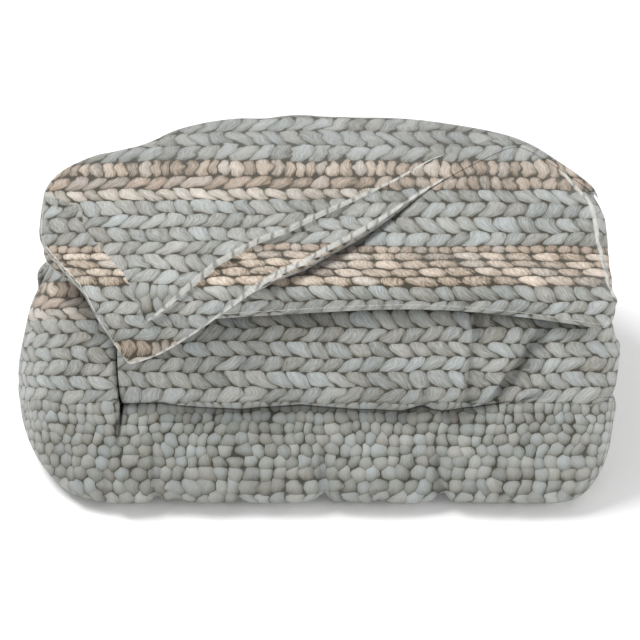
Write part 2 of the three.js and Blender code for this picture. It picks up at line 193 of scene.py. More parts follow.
# An object of both faces, from its points in metres and their numbers on each face
def objectOf(name, vertices, indexA, indexB):
    faces = np.concatenate([cells(indexA, cellCorners), cells(indexB, cellCorners[::-1])]).reshape(-1, 4)
    mesh = bpy.data.meshes.new(name)
    mesh.from_pydata(vertices.tolist(), [], faces.tolist())
    made = bpy.data.objects.new(name, mesh)
    bpy.context.scene.collection.objects.link(made)
    return made


def softPositive(value, softness):
    return (value + np.hypot(value, softness)) / 2


def noseShare(distance, depth):
    inward = np.clip(1 - distance / depth, 0, 1)
    return np.sqrt(1 - inward * inward)


def cornerRetreat(distance, size):
    return duvet["cornerDepth"] * size * np.clip(1 - distance / size, 0, 1) ** duvet["cornerPower"]


def leftEdge(layer, y):
    start, end = layer["slantRange"]
    soft = duvet["slantSoftness"]
    return layer["left"] + layer["slant"] * (softPositive(start - y, soft) - softPositive(end - y, soft))


def rightEdge(layer, y):
    if layer["name"] not in ("upperReturn", "flap"):
        return layer["right"]
    retreat = drawIn["retreat"] * ease(y, *drawIn["y"]) + drawIn["corner"] * ease(y, *drawIn["cornerY"])
    return mix(layer["right"], drawIn["meetX"], ease(y, *drawIn["meetY"])) - retreat


# Where the columns cross a layer: x and the distances from both side edges
def across(layer, y):
    left = leftEdge(layer, y)
    width = rightEdge(layer, y) - left
    offset = columnStart + columnShare * width
    return left + offset, offset, width - offset


# How full a layer's round side edge is, and its seam's share of the height
def sideNose(layer, fromLeft, fromRight, y):
    onLeft = fromLeft < fromRight
    left, right = noseShare(fromLeft, layer["leftDepth"]), noseShare(fromRight, layer["rightDepth"])
    atBack = seams.get(layer["name"], layer["rightSeam"])
    rightSeam = mix(layer["rightSeam"], atBack, ease(y, *seams["y"]))
    return np.where(onLeft, left, right), np.where(onLeft, layer["leftSeam"], rightSeam)


def filledAt(x, y):
    return ease(x, *fill["x"]) * ease(y, *fill["y"])


# Levels of a layer's faces: at the right back the layer under the flap fills out as the flap thins
def levelsAt(layer, x, y):
    filled = filledAt(x, y)
    rises = {"upperReturn": (0, fill["rise"] + fill["closer"]), "flap": (fill["rise"], 0)}
    bottom, top = rises.get(layer["name"], (0, 0))
    return layer["bottom"] + bottom * filled, layer["top"] + top * filled


def foldCentre(index):
    fold = folds[index]
    x, fromLeft, fromRight = across(layers[index], fold["reach"])
    corners = cornerRetreat(fromLeft, fold["cornerLeft"]) + cornerRetreat(fromRight, fold["cornerRight"])
    if fold["side"] == "front":
        return fold["reach"] + fold["bulge"] + corners
    return fold["reach"] - fold["bulge"] - corners


def baseBackY():
    edge = duvet["baseEdge"]
    x, fromLeft, fromRight = across(layers[0], edge["y"])
    return edge["y"] - cornerRetreat(np.minimum(fromLeft, fromRight), edge["corner"])


def points(x, y, z):
    return np.stack(np.broadcast_arrays(x, y, z), axis=-1).astype(float)


def facesOf(lower, upper, seam, share, lowerIsA):
    middle = mix(lower, upper, seam[:, None])
    low = mix(middle, lower, share[:, None])
    high = mix(middle, upper, share[:, None])
    return (low, high) if lowerIsA else (high, low)


def layerRow(index, share, backDistance=None):
    layer = layers[index]
    forwards = index % 2 == 0
    backY = foldCentre(index - 1 if forwards else index) if index else baseBackY()
    frontY = foldCentre(index if forwards else index - 1)
    y = mix(backY, frontY, share if forwards else 1 - share)
    edge = 1.0
    if backDistance is not None:
        y = backY - backDistance
        edge = noseShare(backDistance, duvet["baseEdge"]["nose"])
    x, fromLeft, fromRight = across(layer, y)
    nose, seam = sideNose(layer, fromLeft, fromRight, y)
    bottom, top = levelsAt(layer, x, y)
    faceA, faceB = facesOf(points(x, y, bottom), points(x, y, top), seam, nose * edge, forwards)
    if index == 1:
        faceA[:, 2] += swellHeight(x, y, swell["width"]) * ease(backY - y, 0, swell["backFade"])
    return faceA, faceB, {"fromLeft": fromLeft, "fromRight": fromRight}


def foldRow(index, angle):
    fold = folds[index]
    lower, upper = layers[index], layers[index + 1]
    outward = -1 if fold["side"] == "front" else 1
    up = (1 - cos(angle)) / 2
    y = foldCentre(index)
    below, above = np.array(across(lower, y)), np.array(across(upper, y))
    x = mix(below[0], above[0], ease(up, *duvet["foldTurn"]))
    fromLeft, fromRight = mix(below[1:], above[1:], up)
    shareBelow, seamBelow = sideNose(lower, *below[1:], y)
    shareAbove, seamAbove = sideNose(upper, *above[1:], y)
    outerY = y + outward * fold["bulge"] * sin(angle) ** duvet["foldFullness"]
    innerY = y + outward * duvet["airGap"] * sin(angle) / 2
    bottom, top = levelsAt(upper, x, y)
    outer = points(x, outerY, mix(lower["bottom"], top, up))
    if index == 0:
        width = mix(swell["lowWidth"], swell["width"], ease(up, *swell["narrowUp"]))
        outer[:, 2] += swellHeight(x, y, width) * ease(up, *swell["riseUp"])
    inner = points(x, innerY, mix(levelsAt(lower, x, y)[1], bottom, up))
    seam = mix(seamBelow, 1 - seamAbove, up)
    share = mix(shareBelow, shareAbove, up)
    faceA, faceB = facesOf(outer, inner, seam, share, fold["side"] == "front")
    if index in (0, 2):
        faceA += closingShift(outer, index, up) * share[:, None]
    crease = creaseDepth(faceA[:, 0], index, up) if fold["side"] == "front" else np.zeros(columnCount)
    return faceA, faceB, {"fromLeft": fromLeft, "fromRight": fromRight, "crease": crease}


# How far the upper half of the lower fold and the lower half of the middle one move to meet in front
def closingShift(outer, index, up):
    nearGap = up if index == 0 else 1 - up
    if nearGap < 0.5:
        return np.zeros_like(outer)
    x = outer[:, 0]
    share = mix(closing["left"], closing["middle"], ease(x, *closing["leftX"]))
    share = mix(share, closing["right"], ease(x, *closing["rightX"]))
    frontY = closing["frontY"] + cornerRetreat(layers[2]["right"] - x, closing["corner"])
    lipY = mix(closing["deepY"], frontY, share)
    lean = radians(closing["lean"])
    lift = np.interp(x, list(closing["lifts"]), list(closing["lifts"].values()))
    lipZ = (lift - (lipY + duvet["centreShift"][1]) * sin(lean)) / cos(lean) / (1 - endDrop(x))
    slit = mix(closing["slit"], closing["rightSlit"], ease(x, *closing["rightX"]))
    lipZ += slit * (-1 if index == 0 else 1)
    middleZ = (layers[index]["bottom"] + layers[index + 1]["top"]) / 2
    turn = min(1, (nearGap - 0.5) / closing["turnEnd"]) * pi / 2
    centre = foldCentre(index)
    y = mix(centre - folds[index]["bulge"], lipY, 1 - cos(turn))
    z = mix(middleZ, lipZ, sin(turn))
    turnedIn = ease(nearGap, *closing["turnedIn"])
    clear = ease(x - leftEdge(layers[2], closing["frontY"]), *closing["startX"])
    if index == 0:
        y, z = mix(y, centre, turnedIn / 2), mix(z, layers[1]["top"], turnedIn)
    else:
        y, z = mix(y, outer[:, 1], turnedIn), mix(z, outer[:, 2], turnedIn)
    return (points(x, y, z) - outer) * clear[:, None]


# How far past the bend the flap's edge lies
def flapEdge(x):
    past = bend["edgeCrossX"] - x
    sag = bend["sag"] * hump(x, bend["sagX"], bend["sagWidth"]) - bend["tipRound"] * ease(-x, *bend["tipX"])
    return past * np.where(past > 0, bend["slopeInFront"], bend["slopeOnTop"]) + sag


# A point of the flap at a distance past its bend, at a height over the fold it hangs from
def flapPoint(x, past, height):
    axisZ = (layers[4]["bottom"] + layers[5]["top"]) / 2
    middle = (layers[6]["bottom"] + layers[6]["top"]) / 2 - axisZ
    radius = height - axisZ
    angle = np.clip(past / middle, 0, radians(bend["angle"]))
    straight = np.maximum(0, past - middle * radians(bend["angle"]))
    y = np.where(past < 0, bend["y"] - past, bend["y"] - radius * np.sin(angle) - straight * np.cos(angle))
    z = np.where(past < 0, height, axisZ + radius * np.cos(angle) - straight * np.sin(angle))
    return points(x, y, z)


def flapRow(along, edgeRow=None):
    layer = layers[6]
    start = bend["y"] - foldCentre(5)
    end = start + bend["leastLength"]
    for number in range(bend["edgePasses"]):
        edgeX = across(layer, bend["y"] - end)[0]
        longer = flapEdge(edgeX) - start - bend["leastLength"]
        end = start + softPositive(longer, bend["lengthSoftness"]) + bend["leastLength"]
    wanted = ply["back"] + ply["more"] * ease(edgeX, *ply["moreX"]) - ply["less"] * ease(edgeX, *ply["lessX"])
    plyBack = np.minimum(wanted, (end - start) / ply["lengths"])
    share = mix((end - start) / plyBack, duvet["edgeRows"][-1], along) if edgeRow is None else edgeRow
    fromEdge = plyBack * share
    past = end - fromEdge
    y = bend["y"] - past
    x, fromLeft, fromRight = across(layer, y)
    nose, seam = sideNose(layer, fromLeft, fromRight, y)
    edge = noseShare(fromEdge / plyBack, duvet["edgeNose"])
    seam = mix(duvet["edgeSeam"], seam, edge)
    bottom, top = levelsAt(layer, x, y)
    lower, upper = flapPoint(x, past, bottom), flapPoint(x, past, top)
    faceA, faceB = facesOf(lower, upper, seam, nose * edge, True)
    inside, hemHighlightGap = cutPly(faceA, faceB, fromEdge - plyBack, fromLeft, x, y)
    # the pale line also runs along the flap's edge and its left edge: partly hem, partly painted highlight
    hemHighlightGap = np.minimum(hemHighlightGap, np.minimum(fromEdge / 2, fromLeft)) + hemHighlightPlaces["fade"] * ease(x, *hemHighlightPlaces["fadeX"])
    return faceA, faceB, {"fromLeft": fromLeft, "fromRight": fromRight, "onPly": inside, "hemHighlightGap": hemHighlightGap}


# Takes away the upper ply in front of its edge and beside its left edge
def cutPly(faceA, faceB, behindPly, fromLeft, x, y):
    forward = ease(y, *ply["insetY"])
    fromInset = fromLeft - ply["inset"] * forward
    behind = ease(behindPly, -ply["softness"], ply["softness"])
    starts = ease(forward, *ply["insetStart"])
    inside = mix(1, ease(fromInset, -ply["insetSoftness"], ply["insetSoftness"]), starts)
    dip = ply["groove"] * hump(behindPly, -ply["softness"], ply["grooveWidth"])
    fade = 1 - ease(x, *ply["fadeX"])
    cut = (ply["thick"] * (1 - behind * inside) + dip * inside) * fade
    faceB += (faceA - faceB) * np.minimum(cut / layers[6]["thick"], ply["deepest"])[:, None]
    # the ply's edge and the face of its step get the pale line: partly hem, partly painted highlight where
    # the edge catches light
    onHemHighlight = (behindPly > hemHighlightPlaces["plyFrom"] * ply["softness"]) & (inside > 0.5)
    return behind * inside, np.where(onHemHighlight, np.maximum(behindPly, 0), hemHighlightPlaces["none"])


# The unpressed left end of the base stands up beside the stack
def swellHeight(x, y, width):
    behind = ease(y, *swell["backY"])
    beside = leftEdge(layers[2], y) - mix(swell["clear"], swell["backClear"], behind) - x
    nose = noseShare(x - layers[1]["left"], swell["endDepth"])
    return swell["height"] * ease(beside, 0, mix(width, swell["backWidth"], behind)) * nose


# Depth of the creases along a row of a front fold
def creaseDepth(x, index, up):
    height = layers[index + 1]["top"] - layers[index]["bottom"]
    depth = np.zeros(columnCount)
    for fromX, fromUp, toX, toUp, deep, width, ridge in duvet["creases"].get(index, []):
        along = np.clip((up - fromUp) / (toUp - fromUp), 0, 1)
        beyond = (up - mix(fromUp, toUp, along)) * height
        aside = x - mix(fromX, toX, along)
        depth += deep * hump(np.hypot(aside, beyond), 0, width)
        depth -= ridge * hump(np.hypot(aside - duvet["ridgeAside"] * width, beyond), 0, width)
    fade = duvet["creaseFade"]
    if index not in fade:
        return depth
    return depth * np.where(x > fade["fromX"], ease(up, *fade[index]), 1)


# One face moved by a depth towards the other
def pressedIn(outer, inner, depth):
    inwards = inner - outer
    thick = np.linalg.norm(inwards, axis=-1)
    share = np.minimum(depth, thick / duvet["pressLimit"]) / np.maximum(thick, smallest)
    return outer + inwards * share[..., None]


# The share of its height that the stack loses towards its ends
def endDrop(x):
    end = np.minimum(1, np.abs(x) / duvet["halfWidth"])
    return np.where(x < 0, settle["leftEnd"], settle["rightEnd"]) * end ** settle["endPower"]


# Lowers the stack towards its ends and back, raises its upper front and shoulders, and centres it
def settled(grid):
    x, y, z = grid[..., 0], grid[..., 1], grid[..., 2]
    end = np.minimum(1, np.abs(x) / duvet["halfWidth"])
    sideBack = np.where(x < 0, settle["leftBack"], settle["rightBack"])
    drop = endDrop(x) + (settle["back"] + sideBack * end * end) * ease(y, *settle["backY"])
    raised = arch["rise"] * (1 - ease(y, *arch["y"])) * ease(z, *arch["z"])
    rise = raised * hump(x, arch["x"], arch["width"])
    for shoulder in duvet["shoulders"]:
        near = hump(x, shoulder["x"], shoulder["width"]) * hump(y, shoulder["y"], shoulder["depth"])
        rise = rise + shoulder["rise"] * near * ease(z, *duvet["shoulderZ"])
    return np.stack([x, y, z * (1 - drop) + rise], axis=-1) + np.array(duvet["centreShift"])


# All rows in order along the cloth, with the place in the cloth that each belongs to
def clothGrid():
    rows = [("layer0", layerRow(0, 0, step)) for step in duvet["baseEdge"]["steps"]]
    for index, fold in enumerate(folds):
        count = layers[index]["rows"]
        for step in range(0 if index else 1, count + 1):
            rows.append((f"layer{index}", layerRow(index, step / count)))
        for step in range(1, fold["rows"] + 1):
            rows.append((f"fold{index}", foldRow(index, pi * step / (fold["rows"] + 1))))
    rows += [("layer6", flapRow(step / layers[6]["rows"])) for step in range(layers[6]["rows"])]
    rows += [("layer6", flapRow(1, edgeRow)) for edgeRow in reversed(duvet["edgeRows"])]
    places, rows = zip(*rows)
    usual = {"fromLeft": 0.0, "fromRight": 0.0, "onPly": 1.0, "hemHighlightGap": hemHighlightPlaces["none"], "crease": 0.0}
    extra = {}
    for key, value in usual.items():
        extra[key] = np.array([row[2].get(key, np.full(columnCount, value)) for row in rows])
    faceA = settled(np.array([row[0] for row in rows]))
    faceB = settled(np.array([row[1] for row in rows]))
    for border in borders:
        faceB[border] = faceA[border]
    return faceA, faceB, np.array(places), extra


faceA, faceB, places, extra = clothGrid()
rowCount = len(places)
gridShape = (rowCount, columnCount)
print("cloth grid:", rowCount, "rows by", columnCount, "columns")

# The filling rounds the cover out: Cloth under pressure, on a coarser copy held where the layers lie together
puff = {
    "step": 2,  # takes every second row and column
    "frames": 20,
    "fabric": {"quality": 5, "mass": 0.3, "use_pressure": True, "uniform_pressure_force": 4.0,
               "tension_stiffness": 15.0, "compression_stiffness": 15.0, "shear_stiffness": 5.0,
               "bending_stiffness": 0.5,
               "shrink_min": -0.03,  # the cover is a little larger than its filling
               "vertex_group_mass": "held"},
    "inset": 2.0, "cap": 6.0,  # mm: how much smaller the free parts start, and how far a free point may move
    "smoothing": 3,  # passes over the moves
    "freeFrom": 0.9,  # shares above this count as free in the printed mean
    "arcEnds": (0.1, 0.3), "thinFold": 0.45, "flapClear": (8, 40), "moundClear": (10, 45),
    "plyHold": 10, "plyFree": 0.25, "sideHold": (50, 90), "sideEnd": 22,
}


# The rows of points in one place of the cloth
def spanOf(place):
    found = np.flatnonzero(places == place)
    return slice(found[0], found[-1] + 1)


def middleOf(place):
    rows = spanOf(place)
    return (rows.start + rows.stop - 1) // 2


# 1 where the cover is in sight and free to round out, 0 between the layers and on the floor
def freeShares():
    freeA, freeB = np.zeros(gridShape), np.zeros(gridShape)
    rawX, rawY = faceA[..., 0] - duvet["centreShift"][0], faceA[..., 1] - duvet["centreShift"][1]
    besideStack = ease(leftEdge(layers[2], rawY) - rawX, *puff["moundClear"])
    thick = 1 - filledAt(rawX, rawY)
    for index, fold in enumerate(folds):
        rows = spanOf(f"fold{index}")
        turned = np.arange(1, fold["rows"] + 1) / (fold["rows"] + 1)
        below = ease(turned, *puff["arcEnds"])[:, None]
        above = ease(1 - turned, *puff["arcEnds"])[:, None]
        if index == 0:
            above = mix(above, 1, besideStack[rows])
        if index == 4:
            below, above = below * puff["thinFold"], mix(1 / puff["thinFold"], 1, above)
        if index == 5:
            above = thick[rows]
        (freeA if fold["side"] == "front" else freeB)[rows] = below * above
    rows = spanOf("layer5")
    edgeY = np.interp(faceA[rows, :, 0], faceA[-1, :, 0], faceA[-1, :, 1])
    freeA[rows] = ease(edgeY - faceA[rows, :, 1], *puff["flapClear"])
    rows = spanOf("layer1")
    freeA[rows] = besideStack[rows]
    rows = spanOf("layer6")
    toEdge = np.arange(rows.stop - rows.start)[::-1]
    behindPly = ease(toEdge - len(duvet["edgeRows"]), 0, puff["plyHold"])
    atEdge = ease(toEdge, 0, puff["plyHold"]) * puff["plyFree"]
    sides = ease(extra["fromLeft"][rows], *puff["sideHold"])
    freeB[rows] = np.maximum(behindPly, atEdge)[:, None] * sides * thick[rows]
    atSide = 1 - ease(np.minimum(extra["fromLeft"], extra["fromRight"]), 0, puff["sideEnd"])
    return np.maximum(freeA, freeB * atSide), np.maximum(freeB, freeA * atSide)


# The coarser copy, with its held parts as a vertex group
def coarseCopy(start, free):
    indexA, indexB = np.arange(free.size).reshape(free.shape)
    for border in borders:
        indexB[border] = indexA[border]
    copy = objectOf("puffing", start.reshape(-1, 3), indexA, indexB)
    held = copy.vertex_groups.new(name=puff["fabric"]["vertex_group_mass"])
    for number, share in enumerate(free.ravel()):
        held.add([number], float(1 - share), "REPLACE")
    return copy


def addFilling(copy):
    fabric = copy.modifiers.new("filling", "CLOTH")
    for name, value in puff["fabric"].items():
        setattr(fabric.settings, name, value)
    fabric.settings.effector_weights.gravity = 0
    fabric.collision_settings.use_collision = False


# How far Cloth moves the points of the coarser copy, in mm
def clothMoves(start, free):
    copy = coarseCopy(start, free)
    addFilling(copy)
    scene = bpy.context.scene
    for number in range(1, puff["frames"] + 1):
        scene.frame_set(number)
    result = copy.evaluated_get(bpy.context.evaluated_depsgraph_get()).to_mesh()
    ended = np.empty(start.size)
    result.vertices.foreach_get("co", ended)
    scene.frame_set(1)
    mesh = copy.data
    bpy.data.objects.remove(copy)
    bpy.data.meshes.remove(mesh)
    moves = (ended.reshape(start.shape) - start) * 1000
    far = np.linalg.norm(moves, axis=-1)[free > puff["freeFrom"]]
    print("filling moves the free cover by", far.mean().round(2), "mm")
    return moves


def capped(moves, limit):
    far = np.maximum(np.linalg.norm(moves, axis=-1), smallest)
    return moves * np.minimum(1, limit / far)[..., None]


def finer(coarse):
    step = puff["step"]
    full = np.zeros((rowCount, columnCount, 3))
    full[::step, ::step] = coarse
    full[1::step, ::step] = (full[:-1:step, ::step] + full[2::step, ::step]) / 2
    full[:, 1::step] = (full[:, :-1:step] + full[:, 2::step]) / 2
    return full


# Averages along the rows and the columns in turn
def smoothed(move):
    for number in range(2 * puff["smoothing"]):
        wide = np.pad(move, ((1, 1), (0, 0), (0, 0)), "edge")
        move = ((wide[:-2] + 2 * move + wide[2:]) / 4).swapaxes(0, 1)
    return move


# Both faces with the capped and smoothed moves carried back to all their points
def puffed():
    step = puff["step"]
    freeA, freeB = freeShares()
    startA = pressedIn(faceA, faceB, freeA * puff["inset"])
    startB = pressedIn(faceB, faceA, freeB * puff["inset"])
    free = np.stack([freeA[::step, ::step], freeB[::step, ::step]])
    moves = clothMoves(np.stack([startA[::step, ::step], startB[::step, ::step]]) / 1000, free)
    even = np.stack([smoothed(part) for part in capped(moves, puff["cap"])])
    moves = capped(even, puff["cap"] * free)
    for border in borders:
        moves[1][border] = moves[0][border]
        startB[border] = startA[border]
    rounded = startA + finer(moves[0]), startB + finer(moves[1])
    for face in rounded:
        face[..., 2] = np.maximum(face[..., 2], 0)
    return rounded


faceA, faceB = puffed()
faceA = pressedIn(faceA, faceB, extra["crease"])

# The print's rows, as places on the cloth. Lift is the height of a row's upper edge on a plane that leans
# back with the stack, in mm. Each list has its first row and the lifts from there down
printPlan = {
    "lean": 32.0,  # degrees between that plane and upright
    "leastGrowth": 0.3,  # least lift per mm along the cloth
    "hiddenGrowth": 0.75,  # the same between the layers and round the back folds
    "rowPitch": 17.0,  # mm, round the back
    "backRows": {"fold1": 9.0, "fold3": 15.0},  # the row in the middle of each back fold
    "sideColumns": 10, "sideShare": 0.6,  # columns at each end that follow its round side, and how closely
    "lowerFront": (2, [162, 141.5, 126, 113.5, 101.5, 88, 74.5, 60.5, 46.5, 33.5, 19.5, 9.5, -0.5, -11, -22,
                       -33.5, -45.5, -58, -72, -87]),
    "middleFront": (7, [94, 80, 65.5, 51, 35, 20, 10]),
    "upperTop": (100, [318, 301, 283, 265, 246, 232, 218, 203, 188, 174, 167, 159.5, 151.5, 143, 134, 120,
                       107, 93.5, 82, 65.5, 55]),
    "plyTop": (0, [318, 301, 283, 265, 246, 233, 221, 206, 192, 178, 164, 149, 135, 124]),
}


def rowAt(name, lift):
    firstRow, falling = printPlan[name]
    lifts = np.array(falling[::-1], float)
    row = np.interp(lift, lifts, firstRow + np.arange(len(lifts), dtype=float)[::-1])
    beyond = np.maximum(lifts[0] - lift, 0) - np.maximum(lift - lifts[-1], 0)
    return row + beyond / printPlan["rowPitch"]


# Lift along the cloth from an anchor row, kept growing where the cloth turns out of sight.
# Sign is 1 where it grows with the rows of points, -1 where it falls
def steadyLift(face, first, last, anchor, growth, sign):
    lean = radians(printPlan["lean"])
    lift = face[..., 2] * cos(lean) + face[..., 1] * sin(lean)
    steps = np.linalg.norm(np.diff(face, axis=0), axis=2)
    steady = np.zeros_like(lift)
    steady[anchor] = lift[anchor]
    for way, end in ((1, last), (-1, first)):
        for row in range(anchor, end, way):
            grown = sign * way * (lift[row + way] - lift[row])
            change = np.maximum(grown, growth[row] * steps[min(row, row + way)])
            steady[row + way] = steady[row] + sign * way * change
    return steady


# Distance along a row of points, equal to x on the flat and following the round side ends
def acrossCloth(face):
    steps = np.diff(face, axis=1)
    along = np.abs(steps[..., 0])
    rounded = np.maximum(along, printPlan["sideShare"] * np.linalg.norm(steps, axis=2))
    side = printPlan["sideColumns"]
    along[:, :side], along[:, -side:] = rounded[:, :side], rounded[:, -side:]
    total = np.concatenate([np.zeros((rowCount, 1)), np.cumsum(along, axis=1)], axis=1)
    centre = columnCount // 2
    return total - total[:, [centre]] + face[:, [centre], 0]


# The print row at each point, per stretch of cloth: first row of points, last row, print rows
def printStretches():
    growth = np.full(gridShape, printPlan["leastGrowth"])
    for place in ("layer0", "fold1", "layer2", "layer3", "fold3", "layer4", "fold5"):
        growth[spanOf(place)] = printPlan["hiddenGrowth"]
    rows = spanOf("layer1")
    beside = faceA[rows, :, 0] < leftEdge(layers[2], faceA[rows, :, 1])
    growth[rows] = np.where(beside, printPlan["leastGrowth"], printPlan["hiddenGrowth"])
    firstOf = {place: spanOf(place).start for place in ("layer2", "fold2", "layer4", "fold4")}
    lastRow = rowCount - 1
    stretchesA, stretchesB = [], []
    for table, place, first, last in (
            ("lowerFront", "fold0", 0, firstOf["layer2"]),
            ("middleFront", "fold2", firstOf["layer2"], firstOf["layer4"]),
            ("upperTop", "layer5", firstOf["layer4"], lastRow)):
        lift = steadyLift(faceA, first, last, middleOf(place), growth, 1)
        stretchesA.append((first, last, rowAt(table, lift)))
    travel = np.zeros(gridShape)
    travel[1:] = np.cumsum(np.linalg.norm(np.diff(faceB, axis=0), axis=2), axis=0)
    for place, first, last in (("fold1", 0, firstOf["fold2"]), ("fold3", firstOf["fold2"], firstOf["fold4"])):
        rowsOn = (travel - travel[middleOf(place)]) / printPlan["rowPitch"]
        stretchesB.append((first, last, printPlan["backRows"][place] - rowsOn))
    lift = steadyLift(faceB, firstOf["fold4"], lastRow, middleOf("layer6"), growth, -1)
    stretchesB.append((firstOf["fold4"], lastRow, rowAt("plyTop", lift)))
    return stretchesA, stretchesB, rowAt("upperTop", lift)


# Distance across and print row at the corners of each cell of a face
def printUv(face, stretches, corners):
    rowsAt = np.zeros((rowCount - 1, columnCount - 1, 4))
    for first, last, rows in stretches:
        rowsAt[first:last] = cells(rows, corners)[first:last]
    return np.stack([cells(acrossCloth(face), corners) / 1000, rowsAt], axis=-1)


# Distances on face A, in mm, from the pale lines: the sewn right edge, partly hem and partly painted
# highlight, and the painted highlight along the upper fold's lip
def hemHighlightDistances():
    gap = np.full(gridShape, hemHighlightPlaces["none"])
    rows = spanOf("layer5")
    seam = hemHighlightPlaces["rightIn"] + hemHighlightPlaces["rightMore"] * ease(faceA[rows, :, 1], *hemHighlightPlaces["rightY"])
    gap[rows] = np.abs(extra["fromRight"][rows] - seam) * hemHighlightPlaces["rightScale"]
    count = folds[4]["rows"]
    up = (1 - np.cos(pi * np.arange(1, count + 1) / (count + 1))) / 2
    height = layers[5]["top"] - layers[4]["bottom"]
    gap[spanOf("fold4")] = np.abs(up - hemHighlightPlaces["lipUp"])[:, None] * height * hemHighlightPlaces["lipScale"]
    return gap


def makeDuvet():
    inner = np.s_[1:-1, 1:-1]
    indexA = np.arange(rowCount * columnCount).reshape(gridShape)
    indexB = indexA.copy()
    indexB[inner] = indexA.size + np.arange(indexA[inner].size).reshape(indexA[inner].shape)
    vertices = np.concatenate([faceA.reshape(-1, 3), faceB[inner].reshape(-1, 3)]) / 1000
    piece = objectOf("duvetFilled", vertices, indexA, indexB)
    mesh, reverse = piece.data, cellCorners[::-1]
    stretchesA, stretchesB, lowerPly = printStretches()
    uvA, uvB = printUv(faceA, stretchesA, cellCorners), printUv(faceB, stretchesB, reverse)
    lowerUv = np.stack([uvB[..., 0], cells(lowerPly, reverse)], axis=-1)
    for name, onB in (("printRows", uvB), ("lowerPlyRows", lowerUv)):
        corners = np.concatenate([uvA, onB]).astype(np.float32)
        mesh.uv_layers.new(name=name).data.foreach_set("uv", corners.ravel())
    # distances from the pale lines, partly hem and partly painted highlight, go to the material
    plies, gaps = (np.ones(gridShape), extra["onPly"]), (hemHighlightDistances(), extra["hemHighlightGap"])
    for name, (onA, onB) in (("upperPly", plies), ("hemHighlightGap", gaps)):
        values = np.concatenate([onA.ravel(), onB[inner].ravel()]).astype(np.float32)
        mesh.attributes.new(name, "FLOAT", "POINT").data.foreach_set("value", values)
    for polygon in mesh.polygons:
        polygon.use_smooth = True
    mesh.validate()
    return piece


duvetPiece = makeDuvet()
print("duvet:", len(duvetPiece.data.polygons) * 2, "triangles")

# The knit-look print: its colours, one line per kind of row, and lists of rows from the top down
cloth = {
    "colours": {
        "sage": (0.262, 0.270, 0.254), "pebble": (0.216, 0.222, 0.203), "beige": (0.340, 0.283, 0.227),
        "basket": (0.390, 0.325, 0.261), "tan": (0.285, 0.230, 0.181), "cream": (0.385, 0.345, 0.297),
        # last on the next line: the pale colour of the lines along edges, partly hem and partly painted
        # highlight
        "gap": (0.048, 0.042, 0.031), "pebbleGap": (0.044, 0.043, 0.033), "hem": (0.56, 0.56, 0.53),
        "warmShade": (0.300, 0.272, 0.225), "coolShade": (0.250, 0.280, 0.285),
    },
    # lean of a stitch in widths, its width in mm, squareness and narrowing of its ends, colour, contrast
    "kinds": {
        "leafRight": (0.58, 19.5, 2.8, 0.78, "sage", 1.0),
        "leafLeft": (-0.58, 19.5, 2.8, 0.78, "sage", 1.0),
        "bead": (0.0, 12.2, 2.5, 1.0, "beige", 1.4),
        "tanLeaf": (0.65, 21.0, 2.4, 0.95, "tan", 1.4),
        "creamLeaf": (-0.65, 18.5, 2.6, 0.8, "cream", 1.1),
        "creamRight": (0.65, 18.5, 2.6, 0.8, "cream", 1.1),
        "nub": (0.0, 13.0, 2.6, 0.95, "tan", 1.4),
        "oval": (-0.22, 27.0, 2.3, 0.95, "basket", 1.4),
        "pebble": (0.0, 14.0, 2.3, 0.97, "pebble", 1.0),
    },
    "firstRows": ["leafRight", "leafLeft", "leafRight", "bead", "tanLeaf", "creamLeaf",
                  *["leafLeft", "leafRight"] * 3, *["pebble"] * 11],
    "secondRows": ["leafRight", "leafLeft", "leafRight", "bead", "nub", *["leafLeft", "leafRight"] * 2, "nub",
                   *["oval"] * 4, *["leafLeft", "leafRight"] * 2, "bead", "creamRight", "leafLeft"],
    "secondStart": 100, "secondFrom": 80,  # number of the second list's top row, and where it takes over
    "rampScale": {"lean": 4.0, "pitch": 50.0, "ends": 10.0, "contrast": 2.0},  # a ramp holds 0 to 1
    "seeds": {"row": 7.0, "pebbleRow": 11.0, "pebble": 300.0},
    "stray": {"scale": 30.0, "across": 0.022, "rows": 0.75},  # how far the print wanders, in m and in rows
    "stitch": {"bow": 0.7, "shift": 0.3, "sides": 2.2, "rim": (-0.24, 0.12)},
    "pebbles": {"from": 12, "width": 0.0096, "growth": 0.0007, "shift": 5.0, "wander": 0.3,
                "narrow": 3.3, "flat": 2.45, "size": 0.93, "spread": 0.42, "rim": -0.03},
    # light and shade: on a stitch and on a pebble, then on both
    "shading": {"base": (0.50, 0.34), "crown": (0.62, 0.85), "down": (-0.28, -0.62), "aside": (-0.2, -0.34),
                "fibre": (1.9, 0.9), "tone": 0.42, "patches": 0.45, "patchScale": 11.0, "darkest": 0.1,
                "redPower": 0.95, "bluePower": 1.12},  # warm shade, cool light
    # the chances between which a tint comes in, and how much of it
    "tints": {"warmShade": (0.5, 1.0, 0.5), "coolShade": (0.4, 0.0, 0.6), "share": 0.5},
    "fibres": {"across": 9.0, "apart": 37.0, "along": 1.5, "scale": 1.5, "detail": 4.0, "rough": 0.65},
    # the pale line, partly hem and partly painted highlight: how it fades from its edge, its dashes, and
    # their shade
    "hemHighlightLine": {"gap": (1.56, 3.12), "strength": 0.85, "dash": 0.013, "dashEnd": (0.28, 0.5),
                "dashShade": 0.45, "fibre": (0.25, 0.75), "fibreShade": (0.75, 1.15)},
    "weave": {"scale": 700.0, "distortion": 3.0, "height": 0.03},
    "rumple": {"scale": 28.0, "detail": 3.0, "rough": 0.55},
    "bump": {"Strength": 0.4, "Distance": 0.006},
    "roughFibre": (0.2, 0.8), "roughness": (0.78, 0.92),
    "finish": {"Sheen Weight": 0.2, "Sheen Roughness": 0.5, "Specular IOR Level": 0.25},
}

